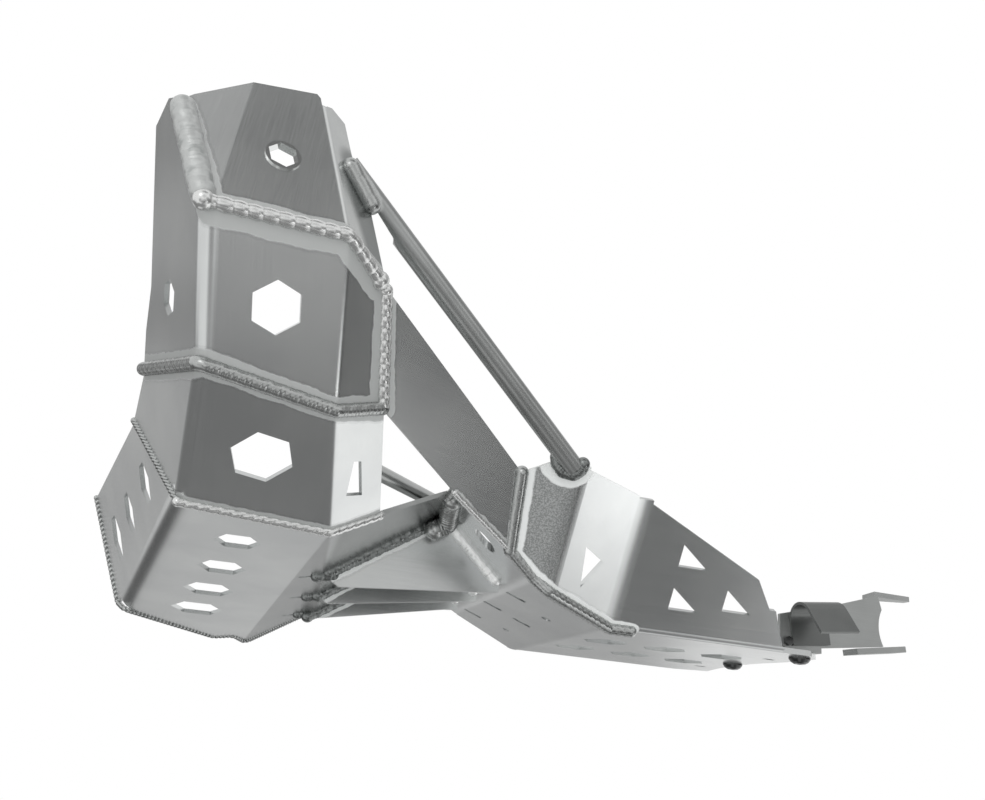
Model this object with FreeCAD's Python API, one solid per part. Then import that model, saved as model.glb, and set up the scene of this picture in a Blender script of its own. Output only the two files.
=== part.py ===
import FreeCAD, Part
import math
import os
from FreeCAD import Vector

# Welded aluminium skid plate with an exhaust guard, in millimetres.
# X runs to the rear, Y to the far side and Z up; the origin is the centre of
# the flat bottom, on its lower surface. The guard stands at the near front.
os.makedirs("parts", exist_ok=True)

# Sheets, beads and bends
PLATE_T = 4.0
GUARD_T = 3.0
PANEL_T = 3.0
RIB_T = 4.0
SOFT_BEND = 7.0
SIDE_BEND = 10.0
FRONT_BEND = 25.0
BELLY_BEND = 16.0
BEAD_R = 4.2
SMALL_BEAD_R = 3.0
POOL_R = 6.5
EDGE_BEAD_R = 2.2
BEAD_SIDES = 12
WING_ROLL = 60.0
BAND_ROLL = 30.0
REACH = 900.0
CUT_DEPTH = 120.0
CUT_START_Z = -20.0
MITRED = 1

# Main reaches of the whole part: up, to each side, to the front and to the rear
GUARD_TOP_Z = 243.0
GUARD_NEAR_Y = -300.5
GUARD_FRONT_X = -458.5
BELLY_FAR_Y = 147.0
BRACKET_END_X = 178.0

# Flat bottom and its rising front
BOTTOM_FRONT_X = -80.0
NEAR_BEND_Y = -110.0
FAR_BEND_Y = 117.0
BOTTOM_REAR_X = 97.0
FRONT_RISE = 20.0
KINK_X = -145.0
STEEP_RISE = 43.0
STEEP_TOP_X = -200.0
STEEP_OUTLINE = [(STEEP_TOP_X, 72), (STEEP_TOP_X, -180), (-163, -136)]
FRONT_FAR_Y = 92.0
FRONT_NEAR_Y = -131.0
PLATE_HEX_R = 18.0
PLATE_HEX_PITCH = 50.0
PLATE_HEX_Y = 32.5
PLATE_HOLES = [(-105, 53, 3.5), (-105, -47, 3.5), (-172.5, -101, 7.5)]
PLATE_SLOTS = [(-116, 2, 15), (74, -56, 9), (74, 56, 9)]
REAR_OUTLINE = [(57, -110), (83, -106), (96, -92), (BOTTOM_REAR_X, -56), (91, -14), (91, 14),
                (BOTTOM_REAR_X, 56), (105, 91), (71, 110)]

# Side wings that lean outward from the bottom
WING_LEAN = 32.0
FAR_WING_H = 48.0
FAR_WING_RUN = 70.0
FAR_WING_REAR_SHARE = 0.5
FACET_TURN = 11.0
WING_BEND_X = -79.0
WING_BEND_H = 95.8
WING_OUTLINE = [(20.5, 51.5), (36, 30), (41, 30), (51, 10.4), (57, 0)]
WING_TRIANGLES = [(-42.8, 52.3), (-41.4, 20.1), (-0.8, 24.2)]
FACET_TRIANGLE = [(-114.8, 58.4), (-98.8, 48.3), (-111.2, 28.9)]
BAND_FOOT_AT = (-134.8, 25.3)
BAND_TOP_AT = (-133.3, 113.5)
TRI_RISE = 16.3
TRI_RUN = 22.4
WING_SEAM_END_X = -64.0

# Ribs below the bridge
RIB_PITCH = 60.5
RIB_MID_Y = -1.5
RIB_NEAR_Y = RIB_MID_Y - RIB_PITCH
RIB_TIP_X = -276.0
RIB_TIP_RISE = 7.0
RIB_TIP_SKEW = 0.06
RIB_FOOT_X = -264.0
RIB_FOOT_Z = 10.0
RIB_FOOT_DROP = 0.085
RIB_HEEL_X = -160.0
RIB_END_X = -149.0
RIB_END_RISE = 1.0
RIB_REAR_Z = 20.0
RIB_TOP_Z = 110.0
SLOT_W = 5.0
SLOT_L = 15.0
RIB_SLOT_X = -142.0
BELLY_SLOT_X = -292.0

# Seam corners of the guard, read as real points
SEAM_TOP_L = Vector(-383, GUARD_NEAR_Y, 152)
SEAM_TOP_R = Vector(-310, GUARD_NEAR_Y + 13.5, 158)
SEAM_MID_L = Vector(-372, -259, 83.5)
SEAM_MID_R = Vector(-299, -237, 79)
SEAM_LOW_L = Vector(-373, -181, 28)
SEAM_LOW_R = Vector(-285, -163, 28.6)
LEFT_TURN = 78.0
LOWER_LEFT_TURN = 70.0
BELLY_LEFT_TURN = 66.0
RIGHT_TURN = 28.0
LOWER_RIGHT_TURN = 31.0
TOP_RIGHT_TURN = 35.0
TOP_LEFT_TURN = 6.0
TOP_BEND_SHARE = 0.07

# Places that set the other planes and the open edges of the guard
TOP_CORNER_L = Vector(-374, GUARD_NEAR_Y + 24, GUARD_TOP_Z)
TOP_CORNER_R = Vector(-334.6, GUARD_NEAR_Y + 32.5, GUARD_TOP_Z + 3)
TOP_PEAK = Vector(-340, GUARD_NEAR_Y + 32.5, GUARD_TOP_Z + 8.5)
TOP_SHOULDER_L = [Vector(-407, GUARD_NEAR_Y + 9.5, 215.5),
                  Vector(-401, GUARD_NEAR_Y + 12.5, 222.5)]
TOP_SHOULDER_R = [Vector(-299, GUARD_NEAR_Y + 43, 190), Vector(-315, GUARD_NEAR_Y + 43, 225),
                  Vector(-321.5, GUARD_NEAR_Y + 46.5, GUARD_TOP_Z + 4),
                  Vector(-330, GUARD_NEAR_Y + 38.5, GUARD_TOP_Z + 7)]
OUTER_TOP_L = Vector(-407, GUARD_NEAR_Y + 8.5, 212)
OUTER_MID_L = Vector(-409.5, -165, 107)
OUTER_LOW_L = Vector(-415, -121, 86.5)
OUTER_RUN_L = [Vector(-415, -276, 220), Vector(-422.5, -250, 218), Vector(-411.5, -201, 144.5),
               Vector(-411.5, -180, 126)]
OUTER_TOP_R = Vector(-289, GUARD_NEAR_Y + 37.5, 148)
OUTER_MID_R = Vector(-272.6, -220, 91)
OUTER_LOW_R = Vector(-256, -151, 46)
PANEL_FRONT_TOP = Vector(-282, GUARD_NEAR_Y + 45.5, 147)
PANEL_EDGE_TOP = Vector(-284, GUARD_NEAR_Y + 44, 146)
PANEL_FRONT_FOOT = Vector(-214, -173.5, 61)
PANEL_REAR_TOP = Vector(-168.8, -163.5, 84)
PANEL_REAR_FOOT = Vector(-164, -136, 38.5)
BAND_PEAK = Vector(-150, -170, 94)

# Places that set the planes and the open edges of the belly
BELLY_AT = Vector(-313, 112, -13)
RIM_AT = Vector(-413, 80, -12)
CAP_AT_TOP = Vector(GUARD_FRONT_X, 97, 76.5)
CAP_AT_LOW = Vector(GUARD_FRONT_X + 36, 104, -3.5)
FAR_NOTCH = [Vector(-326, BELLY_FAR_Y - 13, -17), Vector(-342, BELLY_FAR_Y - 1, -19)]
FAR_FOLD = Vector(-316.5, BELLY_FAR_Y, -18.5)
FAR_TIP = Vector(-312, BELLY_FAR_Y + 1, -18)
SIDE_AT = Vector(-272.5, 54, 3)
SIDE_END = Vector(-272.5, 60, 3)
BRIDGE_AT = Vector(-198, -62, 68)
BRIDGE_FAR = Vector(-266, 64, 3.5)
POOL_Y = RIB_NEAR_Y - 9
BRIDGE_POOL = [Vector(-202, POOL_Y, 60), Vector(-190, POOL_Y, 62), Vector(-186.5, POOL_Y, 80)]
BRIDGE_CORNER_SEAM = [Vector(-207, -119.5, 71), Vector(-203.5, -135.5, 76)]
RIB_POOL_XS = (-278.0, -266.0)
RIB_BRIDGE_XS = (-272.0, -205.0)
RIB_STEEP_XS = (-186.0, -152.0)
BRIDGE_OUTLINE = [Vector(-231, -138, 59), Vector(-210, -126, 71), Vector(-196, -116, 78),
                  Vector(-178, 68, 58)]

# Openings of the guard and the belly: their places, sizes and leanings
RING_AT = Vector(-351, -283.5, 197)
MID_HEX_AT = Vector(-339.5, -270, 117)
MID_HEX_R = 14.4
LOW_HEX_AT = Vector(-332.5, -209.5, 54)
LOW_HEX_R = 18.0
SIDE_HEX_AT = Vector(-398, -229, 128)
SIDE_HEX_R = 10.5
SIDE_HEX_UP = Vector(-5.4, 4.6, 11.2)
FLANGE_OPENING = [Vector(-282.5, -200, 63.5), Vector(-278, -197, 65.3),
                  Vector(-272.3, -174, 51.3), Vector(-282, -181, 47.4)]
BELLY_HEX_AT = Vector(-337, -124, 20)
BELLY_HEX_STEP = Vector(-7, 60, 0)
BELLY_HEX_R = 14.4
BELLY_HEX_GROWTH = 1.7
LEFT_HEXES = [(Vector(-401.5, -105, 51.5), 14.5), (Vector(-415, -31, 45), 15.5),
              (Vector(-428, 40, 38), 18.5)]
LEFT_HEX_UP = Vector(-8.5, 8.4, 14.1)

# Tubes, bolts and the rear fixing
TUBE_R = 6.5
TUBE_WALL = 1.5
REAR_TUBE_R = 5.0
BRACE_ENDS = [Vector(-316.5, GUARD_NEAR_Y + 36.5, 224), Vector(-139.5, -167, 102)]
BRACE_BEAD_R = 5.2
BRACE_TOP_SEAM = [Vector(-318, GUARD_NEAR_Y + 38.5, 222), Vector(-300, GUARD_NEAR_Y + 43.5, 194)]
BRACE_FOOT_SEAM = [Vector(-148, -169, 94), BRACE_ENDS[1] + Vector(0, 0, 1),
                   Vector(-130, -172, 96)]
REAR_BRACE_ENDS = [Vector(-271, -175.5, 68), Vector(-197.5, -76, 74.5)]
BOLT_XS = (83.0, 85.0)
BOLT_YS = (7.0, -87.5)
BOLT_HOLE_R = 3.3
BOLT_R = 3.0
HEAD_R = 8.0
HEAD_H = 4.5
HEAD_RIM = 1.0
SOCKET_FLATS = 4.0
SOCKET_H = 2.5
NUT_FLATS = 10.0
NUT_H = 5.0
WASHER_R = 7.0
WASHER_T = 1.2
RING_R = 9.6
RING_T = 5.0
RING_LIP = 1.0
RING_HEX_R = 8.4
BRACKET_T = 3.0
BRACKET_Y = -98.0
CLIP_NUT_AT = Vector(68, BRACKET_Y, 10)
CLIP_NUT_FLATS = 6.0
CLIP_NUT_H = 3.0
BRACKET_X = 62.0
CLIP_X = 72.0
CLIP_Z = 23.0
CLIP_LEG = 16.0
CLIP_TAB = 20.5
CLIP_SWEEP = 146.0
FOOT_END_X = 97.0
FOOT_END_Y = -76.0
CLIP_R = 14.5
CLIP_T = 2.0
CLIP_W = 32.0
CLIP_TILT = 7.0
CRADLE_R = 30.0
CRADLE_NECK_X = 148.5
CRADLE_Z = 29.5
BRACKET_OUTLINE = [(BRACKET_X, PLATE_T), (FOOT_END_X, PLATE_T), (FOOT_END_X, 8), (152, 15.5),
                   (152, 43.5), (149, 54), (117, 44), (BRACKET_X, 29.5)]
TONGUE_OUTLINE = [(146, 0), (BRACKET_END_X, 0), (BRACKET_END_X, 7), (150, 20)]
TONGUE_Z = 53.0
TONGUE_T = 4.0
BAR_AT = Vector(129, BRACKET_Y, 7.2)
BAR_L = BRACKET_END_X - 134
BAR_W = 18.0
BAR_T = 4.5
BAR_TILT = 8.5


def unit(v):
    """The direction of a vector, with length one."""
    return v * (1 / v.Length)


def sheet_plane(a, b, c, outside):
    """Point and outward normal of the plane through three points."""
    n = unit((b - a).cross(c - a))
    return (a, n if n.dot(outside) > 0 else n * -1)


def turned(a, b, plane, degrees, towards):
    """The plane that a fold on the line a-b turns by an angle."""
    axis = unit(b - a)
    for sign in (1, -1):
        n = FreeCAD.Rotation(axis, sign * degrees).multVec(plane[1])
        if n.dot(towards) > plane[1].dot(towards):
            return (a, n)


def on(plane, p):
    """The foot of a point on a plane."""
    return p - plane[1] * (p - plane[0]).dot(plane[1])


def beyond(point, direction):
    """Everything that lies past a point in a direction."""
    return Part.makeCylinder(REACH, REACH, point, direction)


def prism(points, plane, depth, lift=0.0):
    """A flat outline on a plane, carried inward by a depth."""
    flat = [on(plane, p) + plane[1] * lift for p in points]
    return Part.Face(Part.makePolygon(flat + flat[:1])).extrude(plane[1] * -depth)


def regular(plane, centre, radius, along, sides):
    """Corners of a regular polygon that points along a direction."""
    u = unit(on(plane, centre + along) - on(plane, centre))
    v = plane[1].cross(u)
    angles = [math.radians(360 / sides * k) for k in range(sides)]
    return [centre + u * (radius * math.cos(t)) + v * (radius * math.sin(t)) for t in angles]


def hexagon(plane, centre, radius, along):
    """Corners of a regular hexagon that points along a direction."""
    return regular(plane, centre, radius, along, 6)


def aside(axis):
    """A main direction that is well off an axis."""
    return Z if abs(axis.z) < 0.5 else X


def leaf(points, plane, thick, openings=()):
    """One flat face of a sheet, with its openings cut through."""
    body = prism(points, plane, thick)
    for opening in openings:
        body = body.cut(prism(opening, plane, thick + 2, 1.0))
    return body


def fold(first, second, a, b, n1, n2, radius, thick):
    """Join two leaves that meet on the line a-b by a rolled bend.

    A hollow bend, seen from outside, has a radius below zero.
    """
    axis = unit(b - a)
    half = n1.getAngle(n2) / 2
    setback = abs(radius) * math.tan(half)
    inward = unit(n1 + n2) * (-radius / math.cos(half))
    away1 = axis.cross(n1)
    away1 = away1 if away1.dot(n2) * radius < 0 else away1 * -1
    away2 = axis.cross(n2)
    away2 = away2 if away2.dot(n1) * radius < 0 else away2 * -1
    start = away1 * setback
    corners = [a + start, b + start, b + start - n1 * thick, a + start - n1 * thick]
    section = Part.Face(Part.makePolygon(corners + corners[:1]))
    sense = 1 if n1.cross(n2).dot(axis) > 0 else -1
    roll = section.revolve(a + inward, axis * sense, math.degrees(2 * half))
    first = first.cut(beyond(a + start, away1 * -1))
    second = second.cut(beyond(a + away2 * setback, away2 * -1))
    return first.fuse(roll), second


def mitre(a, b, n1, n2):
    """The plane that halves the corner between two sheets on a line."""
    across = unit(unit(b - a).cross(unit(n1 + n2)))
    return across if across.dot(n2 - n1) > 0 else across * -1


def bead(points, radius, sheets):
    """A weld bead along a path, cut back to the sheets that it joins."""
    axis = unit(points[1] - points[0])
    rim = regular((points[0], axis), points[0], radius, aside(axis), BEAD_SIDES)
    section = Part.makePolygon(rim + rim[:1])
    body = Part.makePolygon(points).makePipeShell([section], True, False, MITRED)
    for sheet in sheets:
        body = body.cut(sheet)
    return max(body.Solids, key=lambda s: s.Volume)


def clear_of(body, others):
    """The body without what it shares with its neighbours."""
    for other in others:
        body = body.cut(other)
    return max(body.Solids, key=lambda s: s.Volume)


def export(shape, name):
    """Write one piece as its own file."""
    shape = shape.removeSplitter()
    shape.exportStep("parts/" + name + ".step")
    print(name, len(shape.Solids), round(shape.Volume), shape.isValid())


X = Vector(1, 0, 0)
Y = Vector(0, 1, 0)
Z = Vector(0, 0, 1)

# Planes of the folded guard, each through a seam of the one before
WEB_MID = sheet_plane(SEAM_TOP_L, SEAM_TOP_R, SEAM_MID_L, Y * -1)
SEAM_MID_R = on(WEB_MID, SEAM_MID_R)
WEB_LOW = sheet_plane(SEAM_MID_L, SEAM_MID_R, SEAM_LOW_L, Y * -1)
SEAM_LOW_R = on(WEB_LOW, SEAM_LOW_R)
WEB_TOP = sheet_plane(SEAM_TOP_L, SEAM_TOP_R, TOP_CORNER_L, Y * -1)
BELLY = sheet_plane(SEAM_LOW_L, SEAM_LOW_R, BELLY_AT, Z * -1)
BELLY_RIM_L = on(BELLY, RIM_AT)
BELLY_FOLD_FAR = on(BELLY, FAR_FOLD)
BELLY_SIDE = sheet_plane(SEAM_LOW_R, BELLY_FOLD_FAR, SIDE_AT, Z * -1)
BRIDGE_FOLD_FAR = on(BELLY_SIDE, BRIDGE_FAR)
BRIDGE = sheet_plane(SEAM_LOW_R, BRIDGE_FOLD_FAR, BRIDGE_AT, Z * -1)
TOP_BEND_L = on(WEB_TOP, TOP_CORNER_L)
TOP_BEND_FOOT = SEAM_TOP_L + (SEAM_TOP_R - SEAM_TOP_L) * TOP_BEND_SHARE
LEFT_MID = turned(SEAM_TOP_L, SEAM_MID_L, WEB_MID, LEFT_TURN, X * -1)
RIGHT_MID = turned(SEAM_TOP_R, SEAM_MID_R, WEB_MID, RIGHT_TURN, X)
LEFT_LOW = turned(SEAM_MID_L, SEAM_LOW_L, WEB_LOW, LOWER_LEFT_TURN, X * -1)
RIGHT_LOW = turned(SEAM_MID_R, SEAM_LOW_R, WEB_LOW, LOWER_RIGHT_TURN, X)
LEFT_BELLY = turned(SEAM_LOW_L, BELLY_RIM_L, BELLY, BELLY_LEFT_TURN, X * -1)
LEFT_TOP = turned(TOP_BEND_FOOT, TOP_BEND_L, WEB_TOP, TOP_LEFT_TURN, X * -1)
RIGHT_TOP = turned(TOP_CORNER_R, SEAM_TOP_R, WEB_TOP, TOP_RIGHT_TURN, X)

# Outer ends of the seams, where the flanges stop
TOP_EDGE_L = on(LEFT_MID, OUTER_TOP_L)
MID_EDGE_L = on(LEFT_MID, OUTER_MID_L)
LOW_EDGE_L = on(LEFT_LOW, OUTER_LOW_L)
TOP_EDGE_R = on(RIGHT_MID, OUTER_TOP_R)
MID_EDGE_R = on(RIGHT_MID, OUTER_MID_R)
LOW_EDGE_R = on(BRIDGE, OUTER_LOW_R)
CAP_TOP = on(LEFT_BELLY, CAP_AT_TOP)
CAP_LOW = on(LEFT_BELLY, CAP_AT_LOW)

# Planes of the skid plate and its wings
BOTTOM = (Vector(0, 0, 0), Z * -1)
lean = math.radians(WING_LEAN)
WING = (Vector(0, NEAR_BEND_Y, 0), Vector(0, -math.cos(lean), -math.sin(lean)))
rise = math.radians(FRONT_RISE)
FRONT = (Vector(BOTTOM_FRONT_X, 0, 0), Vector(-math.sin(rise), 0, -math.cos(rise)))
KINK_Z = (BOTTOM_FRONT_X - KINK_X) * math.tan(rise)
climb = math.radians(STEEP_RISE)
STEEP = (Vector(KINK_X, 0, KINK_Z), Vector(-math.sin(climb), 0, -math.cos(climb)))


def wing_point(x, w):
    """A point of the near wing, w up its slope from the bottom bend."""
    return Vector(x, NEAR_BEND_Y - w * math.sin(lean), w * math.cos(lean))


def steep_point(x, y):
    """A point of the steep front section."""
    return Vector(x, y, KINK_Z + (KINK_X - x) * math.tan(climb))


def front_point(x, y):
    """A point of the rising front section."""
    return Vector(x, y, (BOTTOM_FRONT_X - x) * math.tan(rise))


WING_FOOT = wing_point(BOTTOM_FRONT_X, 0)
WING_BEND_TOP = wing_point(WING_BEND_X, WING_BEND_H)
FACET = turned(WING_FOOT, WING_BEND_TOP, WING, FACET_TURN, X)


def facet_point(x, w):
    """The point of the facet that stands over a point of the wing's plane."""
    over = wing_point(x, w)
    return over - WING[1] * ((over - WING_FOOT).dot(FACET[1]) / WING[1].dot(FACET[1]))


BAND_FOOT = facet_point(*BAND_FOOT_AT)
BAND_TOP = facet_point(*BAND_TOP_AT)
BAND = sheet_plane(BAND_FOOT, BAND_TOP, PANEL_REAR_TOP, Y * -1)
PANEL = sheet_plane(PANEL_FRONT_TOP, MID_EDGE_R, PANEL_REAR_TOP, Y * -1)

# Skid plate: one sheet with a rising front and a wing on each side
hexes = [hexagon(BOTTOM, Vector(i * PLATE_HEX_PITCH, side * PLATE_HEX_Y, 0), PLATE_HEX_R, X)
         for i in (-1, 0, 1) for side in (-1, 1)]
rear_edge = [Vector(x, y, 0) for x, y in REAR_OUTLINE]
far_bend = [Vector(BOTTOM_FRONT_X, FAR_BEND_Y, 0), rear_edge[-1]]
bottom = leaf([WING_FOOT] + rear_edge + far_bend[:1],
              BOTTOM, PLATE_T, hexes)
front_near = on(FRONT, Vector(KINK_X, FRONT_NEAR_Y, KINK_Z))
front = leaf([Vector(BOTTOM_FRONT_X, NEAR_BEND_Y, 0), far_bend[0],
              front_point(KINK_X, FRONT_FAR_Y), front_near], FRONT, PLATE_T)
steep = leaf([front_point(KINK_X, FRONT_FAR_Y)] + [steep_point(x, y) for x, y in STEEP_OUTLINE]
             + [front_near], STEEP, PLATE_T)
wing = leaf([WING_FOOT, WING_BEND_TOP] + [wing_point(x, w) for x, w in WING_OUTLINE], WING, PLATE_T,
            [[wing_point(x, w), wing_point(x + TRI_RUN, w), wing_point(x, w + TRI_RISE)]
             for x, w in WING_TRIANGLES])
facet = leaf([WING_FOOT, BAND_FOOT, BAND_TOP, WING_BEND_TOP], FACET, PLATE_T,
             [[facet_point(x, w) for x, w in FACET_TRIANGLE]])
band = leaf([BAND_FOOT, BAND_TOP, BAND_PEAK, PANEL_REAR_TOP, PANEL_REAR_FOOT, front_near],
            BAND, PLATE_T)
wing, facet = fold(wing, facet, WING_FOOT, WING_BEND_TOP, WING[1], FACET[1], -WING_ROLL, PLATE_T)
facet, band = fold(facet, band, BAND_FOOT, BAND_TOP, FACET[1], BAND[1], BAND_ROLL, PLATE_T)
FAR_WING = turned(far_bend[0], far_bend[1], BOTTOM, 90 - WING_LEAN, Y)
far_up = unit(FAR_WING[1].cross(far_bend[1] - far_bend[0])) * FAR_WING_H
far_up = far_up if far_up.z > 0 else far_up * -1
far_wing = leaf([far_bend[0], far_bend[0] + far_up, far_bend[0] + far_up + X * FAR_WING_RUN,
                 far_bend[1] + far_up * FAR_WING_REAR_SHARE, far_bend[1]], FAR_WING, PLATE_T)
bottom, wing = fold(bottom, wing, WING_FOOT, Vector(57, NEAR_BEND_Y, 0), BOTTOM[1], WING[1],
                    SOFT_BEND, PLATE_T)
bottom, far_wing = fold(bottom, far_wing, far_bend[0], far_bend[1], BOTTOM[1], FAR_WING[1],
                        SOFT_BEND, PLATE_T)
bottom, front = fold(bottom, front, WING_FOOT, far_bend[0], BOTTOM[1], FRONT[1],
                     FRONT_BEND, PLATE_T)
front, steep = fold(front, steep, front_near, front_point(KINK_X, FRONT_FAR_Y), FRONT[1],
                    STEEP[1], FRONT_BEND, PLATE_T)
steep = steep.cut(beyond(BRIDGE[0], BRIDGE[1] * -1)).cut(beyond(PANEL[0], PANEL[1]))
steep = steep.cut(beyond(BAND[0], BAND[1]))
front = front.cut(beyond(FACET[0], FACET[1])).cut(beyond(BAND[0], BAND[1]))
skid_plate = bottom
for piece in (front, steep, wing, facet, band, far_wing):
    skid_plate = skid_plate.fuse(piece)
RIB_YS = [RIB_NEAR_Y, RIB_MID_Y, RIB_MID_Y + RIB_PITCH]
plate_slots = [(RIB_SLOT_X, y, SLOT_L) for y in RIB_YS] + PLATE_SLOTS
bolt_holes = [(x, y, BOLT_HOLE_R) for x, y in zip(BOLT_XS, BOLT_YS)]
for x, y, r in PLATE_HOLES + bolt_holes:
    skid_plate = skid_plate.cut(Part.makeCylinder(r, CUT_DEPTH, Vector(x, y, CUT_START_Z)))
for x, y, length in plate_slots:
    start = Vector(x, y - SLOT_W / 2, CUT_START_Z)
    skid_plate = skid_plate.cut(Part.makeBox(length, SLOT_W, CUT_DEPTH, start))

# Belly pan: left face, belly, right face and the bridge to the skid plate
belly_hexes = [hexagon(BELLY, on(BELLY, BELLY_HEX_AT + BELLY_HEX_STEP * k),
                       BELLY_HEX_R + BELLY_HEX_GROWTH * k, X) for k in range(4)]
left_hexes = [hexagon(LEFT_BELLY, on(LEFT_BELLY, c), r, LEFT_HEX_UP) for c, r in LEFT_HEXES]
belly = leaf([SEAM_LOW_L, SEAM_LOW_R, BELLY_FOLD_FAR] + FAR_NOTCH + [BELLY_RIM_L], BELLY,
             GUARD_T, belly_hexes)
belly_left = leaf([SEAM_LOW_L, LOW_EDGE_L, CAP_TOP, CAP_LOW, BELLY_RIM_L], LEFT_BELLY,
                  GUARD_T, left_hexes)
belly_side = leaf([SEAM_LOW_R, BELLY_FOLD_FAR, FAR_TIP, SIDE_END, BRIDGE_FOLD_FAR],
                  BELLY_SIDE, GUARD_T)
bridge = leaf([SEAM_LOW_R, LOW_EDGE_R] + BRIDGE_OUTLINE + [BRIDGE_FOLD_FAR], BRIDGE, GUARD_T)
for y in RIB_YS:
    start = Vector(BELLY_SLOT_X, y - SLOT_W / 2, CUT_START_Z)
    belly_side = belly_side.cut(Part.makeBox(SLOT_L, SLOT_W, CUT_DEPTH, start))
up_low = mitre(SEAM_LOW_L, SEAM_LOW_R, WEB_LOW[1], BELLY[1])
belly = belly.cut(beyond(SEAM_LOW_L, up_low * -1))
belly, belly_left = fold(belly, belly_left, SEAM_LOW_L, BELLY_RIM_L, BELLY[1], LEFT_BELLY[1],
                         BELLY_BEND, GUARD_T)
belly, belly_side = fold(belly, belly_side, SEAM_LOW_R, BELLY_FOLD_FAR, BELLY[1],
                         BELLY_SIDE[1], SOFT_BEND, GUARD_T)
belly_side, bridge = fold(belly_side, bridge, SEAM_LOW_R, BRIDGE_FOLD_FAR, BELLY_SIDE[1],
                          BRIDGE[1], SOFT_BEND, GUARD_T)
belly_pan = belly.fuse(belly_left).fuse(belly_side).fuse(bridge)
belly_pan = clear_of(belly_pan, [skid_plate])

# Lower guard piece: front web with a left and a right flange
guard_lower = leaf([SEAM_MID_L, SEAM_MID_R, SEAM_LOW_R, SEAM_LOW_L], WEB_LOW, GUARD_T,
                   [hexagon(WEB_LOW, on(WEB_LOW, LOW_HEX_AT), LOW_HEX_R,
                            SEAM_MID_R - SEAM_MID_L)])
lower_left = leaf([SEAM_MID_L, MID_EDGE_L, LOW_EDGE_L, SEAM_LOW_L], LEFT_LOW, GUARD_T)
lower_right = leaf([SEAM_MID_R, MID_EDGE_R, LOW_EDGE_R, SEAM_LOW_R], RIGHT_LOW, GUARD_T,
                   [FLANGE_OPENING])
up_mid = mitre(SEAM_MID_L, SEAM_MID_R, WEB_MID[1], WEB_LOW[1])
guard_lower = guard_lower.cut(beyond(SEAM_MID_L, up_mid * -1)).cut(beyond(SEAM_LOW_L, up_low))
guard_lower, lower_left = fold(guard_lower, lower_left, SEAM_MID_L, SEAM_LOW_L, WEB_LOW[1],
                               LEFT_LOW[1], SIDE_BEND, GUARD_T)
guard_lower, lower_right = fold(guard_lower, lower_right, SEAM_MID_R, SEAM_LOW_R, WEB_LOW[1],
                                RIGHT_LOW[1], SOFT_BEND, GUARD_T)
guard_lower = guard_lower.fuse(lower_left).fuse(lower_right)
guard_lower = clear_of(guard_lower, [belly_pan])

# Middle guard piece, whose left face runs up beside the top piece
guard_middle = leaf([SEAM_TOP_L, SEAM_TOP_R, SEAM_MID_R, SEAM_MID_L], WEB_MID, GUARD_T,
                    [hexagon(WEB_MID, on(WEB_MID, MID_HEX_AT), MID_HEX_R,
                             SEAM_TOP_L - SEAM_MID_L)])
middle_left = leaf([SEAM_TOP_L, TOP_EDGE_L] + OUTER_RUN_L + [MID_EDGE_L, SEAM_MID_L], LEFT_MID,
                   GUARD_T, [hexagon(LEFT_MID, on(LEFT_MID, SIDE_HEX_AT), SIDE_HEX_R,
                                     SIDE_HEX_UP)])
middle_right = leaf([SEAM_TOP_R, TOP_EDGE_R, PANEL_EDGE_TOP, MID_EDGE_R, SEAM_MID_R],
                    RIGHT_MID, GUARD_T)
up_top = mitre(SEAM_TOP_L, SEAM_TOP_R, WEB_TOP[1], WEB_MID[1])
guard_middle = guard_middle.cut(beyond(SEAM_TOP_L, up_top * -1)).cut(beyond(SEAM_MID_L, up_mid))
guard_middle, middle_left = fold(guard_middle, middle_left, SEAM_TOP_L, SEAM_MID_L, WEB_MID[1],
                                 LEFT_MID[1], SIDE_BEND, GUARD_T)
guard_middle, middle_right = fold(guard_middle, middle_right, SEAM_TOP_R, SEAM_MID_R,
                                  WEB_MID[1], RIGHT_MID[1], SOFT_BEND, GUARD_T)
guard_middle = guard_middle.fuse(middle_left).fuse(middle_right)
guard_middle = clear_of(guard_middle, [guard_lower])

# Top guard piece with three facets and a ringed opening
ring_centre = on(WEB_TOP, RING_AT)
top_web = leaf([TOP_BEND_FOOT, SEAM_TOP_R, TOP_CORNER_R, TOP_PEAK, TOP_BEND_L],
               WEB_TOP, GUARD_T)
top_web = top_web.cut(Part.makeCylinder(RING_R, CUT_DEPTH, ring_centre + WEB_TOP[1] * RING_T,
                                        WEB_TOP[1] * -1))
top_left = leaf([TOP_BEND_FOOT, SEAM_TOP_L, TOP_EDGE_L] + TOP_SHOULDER_L + [TOP_BEND_L],
                LEFT_TOP, GUARD_T)
top_right = leaf([TOP_CORNER_R, SEAM_TOP_R, TOP_EDGE_R] + TOP_SHOULDER_R, RIGHT_TOP, GUARD_T)
top_web = top_web.cut(beyond(SEAM_TOP_L, up_top))
top_web, top_left = fold(top_web, top_left, TOP_BEND_FOOT, TOP_BEND_L, WEB_TOP[1],
                         LEFT_TOP[1], SOFT_BEND, GUARD_T)
top_web, top_right = fold(top_web, top_right, TOP_CORNER_R, SEAM_TOP_R, WEB_TOP[1],
                          RIGHT_TOP[1], SOFT_BEND, GUARD_T)
guard_top = top_web.fuse(top_left).fuse(top_right)
guard_top = clear_of(guard_top, [guard_middle])
ring = Part.makeCylinder(RING_R, RING_T, ring_centre + WEB_TOP[1] * RING_LIP, WEB_TOP[1] * -1)
ring_hex = prism(hexagon(WEB_TOP, ring_centre, RING_HEX_R, SEAM_TOP_R - SEAM_MID_R),
                 WEB_TOP, CUT_DEPTH, RING_T)
guard_ring = ring.cut(ring_hex)

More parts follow.
